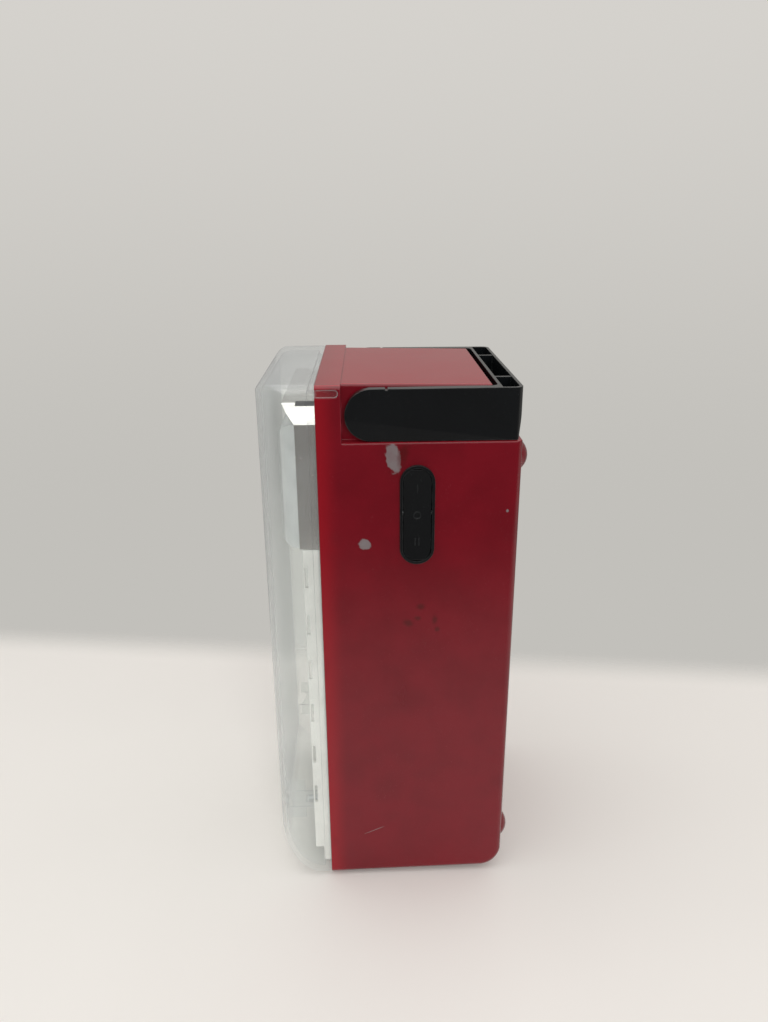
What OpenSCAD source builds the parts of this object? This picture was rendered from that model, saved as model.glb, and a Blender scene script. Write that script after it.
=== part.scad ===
// Rechargeable LED emergency lantern with a folding carry handle.
// +Z is up, the clear lens faces -Y, the power switch is on +X.
// The origin is on the floor, under the middle of the lantern's outer box.
// Modules draw in the housing's own frame: Y starts at the seam between lens and housing and runs
// to the rear, Z starts at the housing's lower front edge. place() moves that frame to the origin.

/* [Housing] */
// Width of the housing at the seam
body_w = 99; // [96:1:110]
// Height of the housing at the seam
housing_h = 230; // [226:1:245]
// Depth of the housing behind the seam
housing_d = 78.8; // [77:0.1:90]
// Moulded wall thickness
wall = 2.5; // [2.2:0.1:2.8]
// Draft angle of the housing walls towards the rear
draft = 0.9; // [0.6:0.1:1.2]
// Radius of the rear bottom corner
base_r = 10; // [8:0.5:12]
// Radius of the long outer edges
edge_r = 3; // [2:0.25:3.5]
// Height of the moulded feet under the base
foot_h = 1; // [0.6:0.1:2]
// Height of the domes that the lantern lies on when it is on its back
dome_h = 3.4; // [2:0.1:4]

/* [Handle recess] */
// Depth of the full-width collar in front of the handle
collar_d = 9.6; // [9:0.1:12]
// Depth of the recess below the top of the collar
recess_h = 22; // [21.6:0.1:24]
// Width of the pocket for each handle arm
pocket_w = 6; // [5.8:0.1:7]
// Depth of the space for the handle bar behind the top block
bar_space = 11.4; // [11:0.1:13]
// Drop from the top of the collar to the top block
collar_step = 0.5; // [0.5:0.1:1.5]

/* [Handle] */
// Height of the handle when it is folded
arm_h = 20.2; // [18:0.1:20.6]
// Thickness of each arm
arm_t = 4; // [3.4:0.1:4.2]
// Depth of the handle bar, front to rear
bar_d = 9; // [7.6:0.1:9]
// Wall thickness of the hollow handle bar
bar_wall = 1.2; // [1.2:0.1:2]
// Radius of the pivot studs on the arms
stud_r = 4; // [3:0.1:4.5]

/* [Lens] */
// Depth of the clear lens in front of the seam
lens_d = 23.5; // [22:0.5:28]
// Wall thickness of the lens
lens_wall = 2; // [1.6:0.1:2.4]
// Radius of the lens along its lower front edge
lens_base_r = 25.5; // [16:0.5:26]
// Radius of the lens along its upper front edge
lens_top_r = 5; // [4:0.5:8]
// Radius of the lens along its upright front edges
lens_side_r = 15; // [5:0.5:16]

/* [Lamps] */
// Diodes in each row
led_columns = 4; // [2:1:4]
// Spacing of the rows
row_pitch = 21.6; // [20:0.1:21.6]
// Spacing of the diodes along a row
column_pitch = 20; // [16:0.5:21]
// Height of the lowest row above the housing's lower edge
first_row_z = 42.8; // [42:0.1:44]
// Radius of a diode
led_r = 2.5; // [1.5:0.1:2.5]
// Radius of the spot lamp's opening
spot_r = 22; // [20:0.5:22]

/* [Switch] */
// Width of the switch bezel
switch_w = 13.6; // [12.6:0.1:15]
// Height of the switch bezel
switch_h = 40.9; // [36:0.1:42]
// How far the bezel stands out of the housing
switch_proud = 1.6; // [1:0.1:2]
// Width of the bezel's rim
switch_rim = 1.1; // [0.9:0.1:1.4]

/* [Battery] */
// Clearance between the battery and the screw posts beside it
battery_gap = 2.05; // [1.05:0.1:4.05]
// Depth of the battery
battery_d = 47; // [40:1:48]
// Height of the battery case
battery_h = 101; // [90:1:104]

/* [Hidden] */
$fn = 64;

// Clearances
run_gap = 0.05;      // radial clearance of a shaft in its bore
slide_gap = 0.3;     // clearance round anything that moves past a wall
fit_gap = 0.15;      // clearance of a fixed piece in its seat
seam_gap = 0.1;      // gap between the lens rim and the housing rim
ease = 0.01;         // how far a fillet's arc leaves its faces before it is trimmed
slack = 1;           // how far a cutting solid runs past what it cuts

// Housing
drop = tan(draft);
half_w = body_w / 2;
foot_r = 5;
foot_x = half_w - 11.5;
foot_front_y = 9;
foot_rear_y = housing_d - 17;
dome_r = 6.25;
dome_x = half_w - 11;
dome_low_z = 19;
ledge_z = housing_h - recess_h;
dome_high_z = ledge_z - 8;
collar_r = 2;
lens_crown_r = 4;
ledge_r = 0.8;
block_x = half_w - pocket_w;
block_rear = housing_d - bar_space;
block_top = housing_h - collar_step;
block_r = 2;
block_edge_r = 1.2;
joint_y = lens_d - (lens_d + housing_d + dome_h) / 2;

// Lens latch: a tongue on each upper corner of the lens lies in a groove of the collar
latch_z = housing_h - 3;
latch_h = 3.2;
latch_depth = 1;
latch_end = 0.75;        // how much of the collar is left behind the groove

// Handle
tip_gap = 1.3;
handle_inset = 0.5;
arm_r = arm_h / 2;
handle_z = ledge_z + slide_gap;
handle_top = handle_z + arm_h;
pivot_y = collar_d + tip_gap + arm_r;
pivot_z = handle_z + arm_r;
bar_rear = housing_d - 0.8;
bar_front = bar_rear - bar_d;
bar_floor = 2;
bar_taper = 1.2;
bar_corner_r = 3;
rib_x = 25;
rib_t = 1.5;
rib_drop = 0.3;
shoulder_r = stud_r + 3;
cheek_x = block_x - (pivot_y - shoulder_r) * drop;
snap_x = block_x - wall - (pivot_y + stud_r) * drop - 2 * fit_gap;
stud_lip = 0.5;
stud_lip_w = 1;
notch_y = pivot_y + 5.7;
notch_w = 1;
notch_h = 0.5;

// Tray and lamp panel, held inside the lens's locating ring
ring_w = 1;
ring_d = 3;
panel_margin = wall + fit_gap + ring_w + slide_gap;
tray_x = half_w - panel_margin;
tray_low = panel_margin;
tray_high = housing_h - panel_margin;
tray_t = 1.6;
tray_wall = 1.5;
tray_back = 2.6;
tray_floor = tray_back - tray_t;
tray_rim = 7.3;
tray_step = 3.5;
tray_step_z = 12.5;
spot_space = 45;         // height between the tray and the ledge, for the spot lamp
tray_top = ledge_z - spot_space;
row_margin = 12;         // least height between the top row of diodes and the tray's top
led_rows = floor((tray_top - row_margin - first_row_z) / row_pitch) + 1;
divider_h = 3.4;
divider_low_t = 3;
divider_top_t = 1;
row_notch = 9.2;
row_notch_d = 1.2;
row_notch_lip = 0.6;     // what is left of the rim in front of each slot
led_out = 5;
led_flange_r = led_r + 0.4;
board_t = 1.6;
led_board_z = 29;
led_board_gap = 0.95;    // clearance between the board and the lens's screw bosses
peg_r = 1.2;
peg_inset = 5;
peg_inset_x = 3;

// Chrome frame and spot lamp
frame_t = 1.5;
frame_low = tray_top + 0.4;
frame_rim = 8.3;
frame_lip = 13.8;
frame_knee_z = ledge_z + 6.5;
frame_cant = 3.5;        // height of the canted corner above the knee
frame_top = frame_knee_z + 6.5;
frame_knee_x = tray_x - 3.2;
frame_crown_x = tray_x - 9.5;
spot_up = 24.6;
spot_z = frame_low + frame_t + spot_up;
spot_seat_r = spot_r + 1;
spot_flange_r = spot_seat_r + 1.3;
spot_depth = 26;
bowl_t = 1.2;
neck_r = 4.6;
bowl_points = 14;
spot_back = spot_depth - frame_rim;
cup_out = 7;
cup_t = 1.2;
cup_edge_r = 6;
cup_x = tray_x - 1;
cup_low = frame_low + 0.2;
cup_high = frame_knee_z - 0.3;
star_r = 10;
star_t = 1.6;
emitter_r = 3.9;
sink_r = 16;
sink_t = 2;
fin_h = 8;
fin_t = 1.2;
fin_pitch = 5;
fin_len = 22;

// Screw posts: [x, z] of each post on the +X side
post_r = 3.5;
post_rib_t = 2;
post_inset = 5;
post_x = tray_x - post_inset;
post_low_z = 8.5;
post_mid_drop = 11;
post_mid_z = tray_top - post_mid_drop;
post_top_gap = 2.3;      // clearance between the top posts and the inside of the top block
post_top_drop = 7;
post_top_x = block_x - wall - post_r - post_top_gap;
post_top_z = tray_high - post_top_drop;
PANEL_POSTS = [[post_x, post_low_z], [post_x, post_mid_z], [post_top_x, post_top_z]];
screw_r = 1.4;
screw_head_r = 2.7;
screw_head_h = 1.9;
screw_len = 12;
recess_w = 1.2;          // the cross recess, as shares of the head's radius and height
recess_deep = 0.8;
recess_t = 0.3;

// The two long screws from the rear that hold the lens
tube_r = 4.4;
tube_z = 36;
tube_seat = 14;
case_screw_r = 1.6;
case_head_r = 2.8;
case_head_h = 2.2;
case_screw_out = 10;
lens_boss_r = 3.6;
led_board_x = post_x - lens_boss_r - led_board_gap;
peg_x = led_board_x - peg_inset_x;
gusset_h = 20;
gusset_t = 1.2;
gusset_d = 12;

// Switch, drawn on the drafted side wall: X is out of the wall
switch_y = 38.4;
switch_drop = 29.1;
switch_z = ledge_z - switch_drop;
bezel_neck = 0.35;     // how far the bezel's flange covers the edge of its hole
bezel_seat = 0.05;     // gap between the flange and the wall
bezel_deep = 6.4;
rocker_w = switch_w - 2 * switch_rim - 2 * slide_gap;
rocker_h = switch_h - 2 * switch_rim - 2 * slide_gap;
rocker_axle_x = -2.4;
rocker_out = 1.4;
rocker_dish_r = 240;
rocker_keel = 4.4;
rocker_end = 1.8;
rocker_lead_in = 0.4;
rocker_dish = 0.7;
rocker_swing = 1.3;     // room below the keel
axle_r = 1;
switch_body_w = 10.4;
switch_body_h = 33;
switch_body_d = 13;
blade_t = 0.8;
blade_w = 4.8;
blade_len = 7;
blade_pitch = 10;
blade_hole_r = 0.8;
blade_hole_in = 2;

// Mains inlet on the other side: a figure-of-eight socket with two pins
inlet_w = switch_w;
inlet_h = 26;
inlet_z = switch_z;
socket_w = 9.2;
socket_h = 17.8;
socket_d = 13;
inlet_wall = 1.4;
pin_r = 1.2;
pin_pitch = 8.6;
pin_out = 11;
pin_tail = 4;
lamp_r = 1.5;
lamp_drop = 20;
lamp_z = inlet_z - lamp_drop;
lamp_pitch = 9;
lamp_flange = 0.4;
lamp_tail = 3;

// Battery bay
cradle_z = 8;
cradle_x = 20;
cradle_t = 2;
pad_t = 1.4;
battery_w = 2 * (post_x - post_r - battery_gap);
battery_rear = housing_d - wall - pad_t;
battery_front = battery_rear - battery_d;
battery_top = cradle_z + battery_h;
lid_h = 7;
lid_groove = 1.4;
vent_gap = 8;
pad_inset_x = 6;
pad_inset_z = 12;
terminal_inset_x = 9;
terminal_inset_y = 12;
terminal_x = battery_w / 2 - terminal_inset_x;
terminal_y = battery_front + terminal_inset_y;
clamp_drop = 37;
clamp_z = battery_top - clamp_drop;
clamp_t = 2;
clamp_h = 12;
clamp_face = battery_front - 0.1;

// Charger board on the rear wall
board_stand = 9;
board_gap = 9;           // height between the battery and the board
board_drop = 12;         // height between the board and the ledge
board_y = housing_d - wall - board_stand;
board_x = 29;
board_low = battery_top + board_gap;
board_high = ledge_z - board_drop;
board_post_r = 3;
board_post_inset = 4;
film_x = -22;
film_z = 12;
film_w = 18;
film_d = 12;
film_h = 9;
big_can_x = 10;
big_can_up = 18;
big_can_r = 5;
big_can_h = 14;
small_can_x = -15;
small_can_drop = 22;
small_can_r = 4;
small_can_h = 11;
diode_x = -8;
diode_z = 34.5;
diode_pitch = 7;
diode_r = 1.3;
diode_len = 5;
diode_lift = 2;
wire_w = 0.8;
wire_len = 4;
wire_pitch = 2.5;
driver_x = 8;
driver_drop = 30;
case_w = 10;
case_t = 4.4;
tab_len = 6;
tab_t = 1.3;

// Leads: the joints on the board, and how far in front of it each lead turns towards its joint
battery_joint_x = 25;
battery_joint_up = 12;
battery_joint_z = board_low + battery_joint_up;
panel_joint_up = 45;
panel_joint_z = board_low + panel_joint_up;
panel_lead_drop = 8;
panel_lead_z = tray_top - panel_lead_drop;
spot_joint_drop = 12;
spot_joint_z = board_high - spot_joint_drop;
spot_joint_x = 6;
side_joint_x = 21;
lead_pitch = 4;
turn_d = 10;
lead_r = 0.9;
lead_sides = 8;
bend_cut = 4;
bend_steps = 4;
lead_reference = unit([1, 0.35, 0.2]);

// Moves the housing's own frame to the lantern's frame.
module place() {
    translate([0, joint_y, foot_h]) children();
}

// Frame on the +X side wall: X = 0 is the wall's outer face, which leans in by the draft.
module on_side() {
    translate([half_w, 0, 0]) rotate([0, 0, draft]) children();
}

module both_sides() {
    children();
    mirror([1, 0, 0]) children();
}

// Extrusions of an outline along each axis. The outline's own axes become the other two.
module along_x(x0, x1) {
    translate([x0, 0, 0]) rotate([90, 0, 90]) linear_extrude(x1 - x0) children();
}

module along_y(y0, y1) {
    translate([0, y1, 0]) rotate([90, 0, 0]) linear_extrude(y1 - y0) children();
}

module along_z(z0, z1) {
    translate([0, 0, z0]) linear_extrude(z1 - z0) children();
}

// A cylinder along Y at x, z.
module rod_y(x, z, r, y0, y1) {
    translate([x, y0, z]) rotate([-90, 0, 0]) cylinder(r = r, h = y1 - y0);
}

// A cylinder along X at y, z.
module rod_x(y, z, r, x0, x1) {
    translate([x0, y, z]) rotate([0, 90, 0]) cylinder(r = r, h = x1 - x0);
}

// Upright slot outline with round ends.
module stadium(w, h) {
    square([w, h - w], center = true);
    for (s = [-1, 1]) translate([0, s * (h - w) / 2]) circle(w / 2);
}

// Rectangle from z0 to z1 with its own corner radius at the top and at the bottom.
module rounded_front(half, z0, z1, top_r, low_r) {
    translate([-half, z0 + low_r]) square([2 * half, z1 - z0 - top_r - low_r]);
    translate([-half + top_r, z1 - 2 * top_r]) square([2 * (half - top_r), 2 * top_r]);
    translate([-half + low_r, z0]) square([2 * (half - low_r), 2 * low_r]);
    for (s = [-1, 1]) {
        translate([s * (half - top_r), z1 - top_r]) circle(top_r);
        translate([s * (half - low_r), z0 + low_r]) circle(low_r);
    }
}

// What a fillet of radius r takes off an outside edge at the origin of a body below and left of it.
module cove(r) {
    difference() {
        translate([-r, -r]) square(r + slack);
        translate([ease - r, ease - r]) circle(r);
    }
}

// ---- Housing ----

// Side outline of the lower housing, moved in by inset, up to the height top.
module side_outline(inset, top) {
    r = base_r - inset;
    y = housing_d - inset - r;
    low = inset / cos(draft);
    z = y * drop + low + r / cos(draft);
    start = inset > 0 ? -slack : 0;
    polygon([
        [start, low + start * drop], [y + r * sin(draft), z - r * cos(draft)],
        [housing_d - inset, z], [housing_d - inset, top], [start, top]
    ]);
    translate([y, z]) circle(r);
}

// Plan outline of the housing with its drafted sides, moved in by inset.
module plan_outline(inset) {
    start = inset > 0 ? -slack : 0;
    rear = housing_d - inset;
    half = half_w - inset / cos(draft);
    polygon([
        [-half + start * drop, start], [half - start * drop, start],
        [half - rear * drop, rear], [rear * drop - half, rear]
    ]);
}

// Round-over along one side: the bottom edge, the rear bottom corner and the upright rear edge.
module side_fillets() {
    rear = (housing_d + edge_r * sin(draft)) / cos(draft);
    y = rear - base_r;
    z = y * drop + base_r / cos(draft);
    on_side() {
        rotate([draft, 0, 0])
            along_y(-slack, (y + base_r * sin(draft)) / cos(draft)) mirror([0, 1]) cove(edge_r);
        translate([0, y, z]) {
            rotate([0, 90, 0])
                rotate_extrude(angle = 90 - draft, start = draft) translate([base_r, 0]) cove(edge_r);
            linear_extrude(ledge_z + slack - z) translate([0, base_r]) cove(edge_r);
        }
        along_y(collar_d, rear + slack) translate([0, ledge_z]) cove(ledge_r);
    }
}

// Plan with drafted sides and round rear corners. half is its half width at the seam.
module drafted_plan(half, front, rear, r) {
    y = rear - r;
    x = half - y * drop - r / cos(draft);
    polygon([
        [front * drop - half, front], [half - front * drop, front],
        [x + r * cos(draft), y + r * sin(draft)], [x, rear],
        [-x, rear], [-x - r * cos(draft), y + r * sin(draft)]
    ]);
    for (s = [-1, 1]) translate([s * x, y]) circle(r);
}

// The block between the handle arms, with its top falling to the rear by the draft.
module top_block() {
    peak = block_top + collar_d * drop;
    rear_top = peak - block_rear * drop;
    difference() {
        intersection() {
            along_z(ledge_z - wall / 2, block_top)
                drafted_plan(block_x, collar_d - slack, block_rear, block_r);
            along_x(-half_w, half_w) polygon([
                [0, ledge_z - wall], [block_rear + slack, ledge_z - wall],
                [block_rear + slack, rear_top - slack * drop], [0, peak]
            ]);
        }
        both_sides() translate([block_x, 0, peak]) rotate([0, 0, draft]) rotate([-draft, 0, 0])
            along_y(0, block_rear + slack) cove(block_edge_r);
        translate([0, block_rear, rear_top]) along_x(-half_w, half_w) cove(block_edge_r);
    }
}

module housing_outside() {
    difference() {
        union() {
            intersection() {
                along_x(-half_w, half_w) side_outline(0, ledge_z);
                along_z(-slack, ledge_z + slack) plan_outline(0);
            }
            intersection() {
                along_y(0, collar_d) rounded_front(half_w, ledge_z - wall, housing_h, collar_r, ease);
                along_z(ledge_z - wall, housing_h) plan_outline(0);
            }
            top_block();
        }
        both_sides() side_fillets();
        translate([0, housing_d, ledge_z]) along_x(-half_w, half_w) cove(ledge_r);
        both_sides() latch_groove();
    }
}

module housing_inside() {
    intersection() {
        along_x(-half_w, half_w) side_outline(wall, ledge_z - wall);
        along_z(0, housing_h) plan_outline(wall);
    }
    along_y(-slack, collar_d - wall)
        rounded_front(half_w - wall - (collar_d - wall) * drop, ledge_z - 2 * wall, housing_h - wall,
            slack, slack);
    along_z(ledge_z - 2 * wall, block_top - wall - block_rear * drop)
        drafted_plan(block_x - wall, -slack, block_rear - wall, slack);
}

// Groove in the collar's side that takes the lens latch.
module latch_groove() {
    along_x(half_w - latch_depth, half_w + slack) latch_outline(0);
}

module latch_outline(gap) {
    r = latch_h / 2 - gap;
    end = collar_d - latch_end - gap;
    translate([-slack, latch_z - r]) square([end - r + slack, 2 * r]);
    translate([end - r, latch_z]) circle(r);
}

// A screw post on the +X side with the rib that ties it to the side wall, behind the lens's ring.
module side_post(x, z, r, front) {
    rib_front = max(front, ring_d + slide_gap);
    rod_y(x, z, r, front, housing_d - wall / 2);
    intersection() {
        translate([x, rib_front, z - post_rib_t / 2])
            cube([half_w - x, housing_d - rib_front - slack, post_rib_t]);
        along_z(0, housing_h) plan_outline(wall / 2);
    }
}

module cradle_rib() {
    intersection() {
        translate([cradle_x - cradle_t / 2, battery_front, 0])
            cube([cradle_t, housing_d - battery_front, cradle_z]);
        along_x(0, half_w) side_outline(wall / 2, ledge_z);
    }
}

module housing() place() color("firebrick") {
    difference() {
        union() {
            difference() {
                housing_outside();
                housing_inside();
            }
            both_sides() {
                side_post(post_x, post_low_z, post_r, tray_back);
                side_post(post_x, post_mid_z, post_r, tray_back);
                rod_y(post_top_x, post_top_z, post_r, tray_back, block_rear - wall / 2);
                side_post(post_x, tube_z, tube_r, tray_back + slide_gap);
                side_post(post_x, clamp_z, post_r, battery_front);
                cradle_rib();
                for (z = [board_low + board_post_inset, board_high - board_post_inset])
                    rod_y(board_x - board_post_inset, z, board_post_r, board_y + board_t,
                        housing_d - wall / 2);
                for (z = [dome_low_z, dome_high_z]) rear_dome(z);
                for (y = [foot_front_y, foot_rear_y])
                    translate([foot_x, y, -foot_h]) cylinder(r = foot_r, h = foot_h + wall);
            }
        }
        both_sides() {
            for (p = PANEL_POSTS) rod_y(p[0], p[1], screw_r + run_gap, 0, tray_back + screw_len);
            rod_y(post_x, clamp_z, screw_r + run_gap, 0, battery_front + screw_len);
            rod_y(post_x, tube_z, case_screw_r + run_gap, 0, housing_d);
            rod_y(post_x, tube_z, case_head_r + slide_gap, tube_seat, housing_d + slack);
            for (z = [board_low + board_post_inset, board_high - board_post_inset])
                rod_y(board_x - board_post_inset, z, screw_r + run_gap, board_y,
                    board_y + board_t + screw_len / 2);
            rod_x(pivot_y, pivot_z, stud_r + run_gap, block_x - 2 * wall, block_x + slack);
        }
        on_side() side_hole(switch_w, switch_h, switch_z);
        mirror([1, 0, 0]) on_side() {
            side_hole(inlet_w, inlet_h, inlet_z);
            for (s = [-1, 1])
                rod_x(switch_y + s * lamp_pitch / 2, lamp_z, lamp_r + run_gap, -2 * wall, slack);
        }
    }
}

// Hole in a side wall for the neck of a bezel of size w by h.
module side_hole(w, h, z) {
    trim = 2 * (bezel_neck - fit_gap);
    translate([0, switch_y, z]) along_x(-2 * wall, slack) stadium(w - trim, h - trim);
}

// A spherical dome on the rear wall.
module rear_dome(z) {
    r = (dome_r * dome_r + dome_h * dome_h) / (2 * dome_h);
    intersection() {
        translate([dome_x, housing_d + dome_h - r, z]) sphere(r);
        translate([dome_x - r, housing_d - wall / 4, z - r]) cube([2 * r, dome_h + wall, 2 * r]);
    }
}

// ---- Lens ----

// Side outline of the lens, moved in by inset, open past the seam when it is moved in.
module lens_side(inset) {
    low_r = lens_base_r - inset;
    top_r = lens_top_r - inset;
    front = inset - lens_d;
    back = inset > 0 ? slack : -seam_gap;
    high = housing_h - inset;
    intersection() {
        translate([front, inset]) square([back - front, high - inset]);
        union() {
            translate([front, inset + low_r]) square([2 * lens_d, high - inset - low_r - top_r]);
            translate([front + low_r, inset]) square([2 * lens_d, 2 * low_r]);
            translate([front + top_r, high - 2 * top_r]) square([2 * lens_d, 2 * top_r]);
            translate([front + low_r, inset + low_r]) circle(low_r);
            translate([front + top_r, high - top_r]) circle(top_r);
        }
    }
}

module lens_plan(inset) {
    r = lens_side_r - inset;
    front = inset - lens_d;
    back = inset > 0 ? slack : -seam_gap;
    half = half_w - inset;
    translate([-half, front + r]) square([2 * half, back - front - r]);
    translate([r - half, front]) square([2 * (half - r), 2 * r]);
    for (s = [-1, 1]) translate([s * (half - r), front + r]) circle(r);
}

module lens_form(inset) {
    intersection() {
        along_x(-half_w, half_w) lens_side(inset);
        along_z(0, housing_h) lens_plan(inset);
        along_y(-lens_d, slack)
            rounded_front(half_w - inset, inset, housing_h - inset, lens_crown_r - inset / 2,
                edge_r - inset / 2);
    }
}

module lens() place() color("white", 0.3) {
    difference() {
        union() {
            difference() {
                lens_form(0);
                lens_form(lens_wall);
            }
            locating_ring();
            both_sides() {
                along_x(half_w - latch_depth + fit_gap, half_w - fit_gap)
                    intersection() {
                        latch_outline(fit_gap);
                        translate([-slack, latch_z - latch_h]) square([collar_d + slack, 2 * latch_h]);
                    }
                intersection() {
                    lens_form(lens_wall / 2);
                    union() {
                        rod_y(post_x, tube_z, lens_boss_r, -lens_d, -slack);
                        translate([post_x - gusset_t / 2, -lens_d, tube_z - gusset_h / 2])
                            cube([gusset_t, gusset_d, gusset_h]);
                    }
                }
                rod_y(post_x, tube_z, lens_boss_r, -ring_d, tray_back);
            }
        }
        both_sides()
            rod_y(post_x, tube_z, case_screw_r + run_gap, -case_screw_out - slack, tray_back + slack);
    }
}

// Thin ring behind the lens rim that centres the lens inside the housing. Its root joins the lens wall.
module locating_ring() {
    out = wall + fit_gap;
    in = out + ring_w;
    root = 2 * lens_wall / 3;
    difference() {
        union() {
            along_y(-ring_d, -seam_gap)
                rounded_front(half_w - root, root, housing_h - root, collar_r, edge_r - root);
            along_y(-ring_d, ring_d) rounded_front(half_w - out, out, housing_h - out, slack, slack);
        }
        along_y(-ring_d - slack, ring_d + slack)
            rounded_front(half_w - in, in, housing_h - in, slack, slack);
    }
}

// ---- Lamp panel ----

// Height of each row of diodes.
function row_z(i) = first_row_z + i * row_pitch;
function column_x(j) = (j - (led_columns - 1) / 2) * column_pitch;

module led_tray() place() color("white") {
    difference() {
        union() {
            along_y(tray_floor, tray_back) rounded_front(tray_x, tray_low, tray_high, slack, slack);
            both_sides() difference() {
                along_x(tray_x - tray_wall, tray_x) polygon([
                    [tray_back, tray_low + slack], [-tray_step, tray_low + slack], [-tray_step, tray_step_z],
                    [-tray_rim, tray_step_z], [-tray_rim, tray_top], [tray_back, tray_top]
                ]);
                for (i = [0 : led_rows - 1])
                    translate([tray_x - 2 * tray_wall, row_notch_lip - tray_rim, row_z(i) - row_notch / 2])
                        cube([3 * tray_wall, row_notch_d, row_notch]);
            }
            for (z = [tray_step_z, tray_top - tray_wall])
                translate([-tray_x + tray_wall / 2, -tray_rim, z])
                    cube([2 * tray_x - tray_wall, tray_rim + tray_back, tray_wall]);
            for (i = [0 : led_rows]) divider(row_z(i) - row_pitch / 2);
            for (z = [led_board_z + peg_inset, tray_top - peg_inset], s = [-1, 1])
                rod_y(s * peg_x, z, peg_r, tray_floor, tray_back + board_t + slack);
        }
        for (i = [0 : led_rows - 1], j = [0 : led_columns - 1])
            rod_y(column_x(j), row_z(i), led_flange_r + fit_gap, -tray_rim, tray_back + slack);
        rod_y(0, spot_z, spot_seat_r, -tray_rim, tray_back + slack);
        both_sides() {
            for (p = PANEL_POSTS) rod_y(p[0], p[1], screw_r + fit_gap, -tray_rim, tray_back + slack);
            rod_y(post_x, tube_z, lens_boss_r + slide_gap, -tray_rim, tray_back + slack);
        }
    }
}

// A tapered rib between two rows, which throws the light forwards.
module divider(z) {
    x = tray_x - tray_wall / 2;
    translate([0, tray_floor + ease, z]) along_x(-x, x) polygon([
        [0, -divider_low_t / 2], [-divider_h, -divider_top_t / 2],
        [-divider_h, divider_top_t / 2], [0, divider_low_t / 2]
    ]);
}

module frame_front(inset) {
    low = frame_low + inset;
    polygon([
        [-tray_x + inset, low], [tray_x - inset, low], [tray_x - inset, frame_knee_z],
        [frame_knee_x - inset, frame_knee_z + frame_cant], [frame_crown_x - inset, frame_top - inset],
        [inset - frame_crown_x, frame_top - inset], [inset - frame_knee_x, frame_knee_z + frame_cant],
        [inset - tray_x, frame_knee_z]
    ]);
}

module frame_side(inset) {
    back = inset > 0 ? tray_floor + slack : tray_floor;
    polygon([
        [back, frame_low + inset], [inset - frame_rim, frame_low + inset],
        [inset - frame_rim, frame_knee_z], [inset - frame_lip, frame_top - inset],
        [back, frame_top - inset]
    ]);
}

module frame_form(inset) {
    intersection() {
        along_y(-lens_d, lens_d) frame_front(inset);
        along_x(-half_w, half_w) frame_side(inset);
    }
}

module reflector_frame() place() color("gainsboro") {
    difference() {
        frame_form(0);
        frame_form(frame_t);
        rod_y(0, spot_z, spot_seat_r, -lens_d, -frame_rim + frame_t + slack);
        both_sides() rod_y(post_top_x, post_top_z, screw_head_r + slide_gap, -frame_rim, tray_back);
    }
}

// Radius of the bowl at each depth from its mouth to its neck: a parabola.
function bowl_r(t) = sqrt(neck_r * neck_r + (spot_r * spot_r - neck_r * neck_r) * (1 - t));

module spot_reflector() place() color("silver") {
    flange_back = frame_t + bowl_t;
    seat = spot_seat_r - fit_gap;
    n = bowl_points;
    inner = [for (i = [0 : n]) [bowl_r(i / n), spot_depth * i / n]];
    outer = [for (i = [n : -1 : 2]) [bowl_r(i / n) + bowl_t, spot_depth * i / n]];
    rim = [[bowl_r(flange_back / spot_depth) + bowl_t, flange_back], [spot_flange_r, flange_back],
           [spot_flange_r, frame_t], [seat, frame_t], [seat, 0]];
    translate([0, -frame_rim, spot_z]) rotate([-90, 0, 0])
        rotate_extrude() polygon(concat(inner, outer, rim));
}

module spot_lens() place() color("azure", 0.4) {
    difference() {
        cup_form(0);
        cup_form(cup_t);
    }
}

// The clear cover over the spot lamp: a shallow box on the frame with rounded front edges.
module cup_form(inset) {
    out = cup_out - inset;
    half = cup_x - inset;
    r = cup_edge_r - inset;
    intersection() {
        along_x(-half, half) translate([-frame_rim, 0])
            rounded_front(out, cup_low + inset, cup_high - inset, r, r);
        along_z(cup_low, cup_high) translate([0, -frame_rim]) rounded_front(half, -out, out, r, r);
        along_y(-lens_d, inset > 0 ? slack - frame_rim : -frame_rim)
            translate([-half_w, 0]) square([body_w, housing_h]);
    }
}

module spot_led() place() color("khaki") {
    translate([0, spot_back, spot_z]) rotate([-90, 0, 0]) cylinder(r = star_r, h = star_t);
    rod_y(0, spot_z, emitter_r, spot_back - slack, spot_back);
    translate([0, spot_back - slack, spot_z]) intersection() {
        sphere(emitter_r - fit_gap);
        translate([-star_r, -star_r, -star_r]) cube([2 * star_r, star_r, 2 * star_r]);
    }
}

module spot_heatsink() place() color("silver") {
    y = spot_back + star_t;
    rod_y(0, spot_z, sink_r, y, y + sink_t);
    for (i = [-2 : 2])
        translate([i * fin_pitch - fin_t / 2, y + sink_t / 2, spot_z - fin_len / 2])
            cube([fin_t, fin_h + sink_t / 2, fin_len]);
}

module led_board() place() color("darkgreen") {
    difference() {
        translate([-led_board_x, tray_back, led_board_z])
            cube([2 * led_board_x, board_t, tray_top - led_board_z]);
        for (z = [led_board_z + peg_inset, tray_top - peg_inset], s = [-1, 1])
            rod_y(s * peg_x, z, peg_r + run_gap, tray_floor, tray_back + 2 * board_t);
    }
}

module panel_leds() place() color("lightyellow") {
    for (i = [0 : led_rows - 1], j = [0 : led_columns - 1]) {
        rod_y(column_x(j), row_z(i), led_flange_r, tray_back - slack, tray_back);
        rod_y(column_x(j), row_z(i), led_r, led_r - led_out, tray_back - slack);
        translate([column_x(j), led_r - led_out, row_z(i)]) sphere(led_r);
    }
}

// ---- Screws ----

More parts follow.
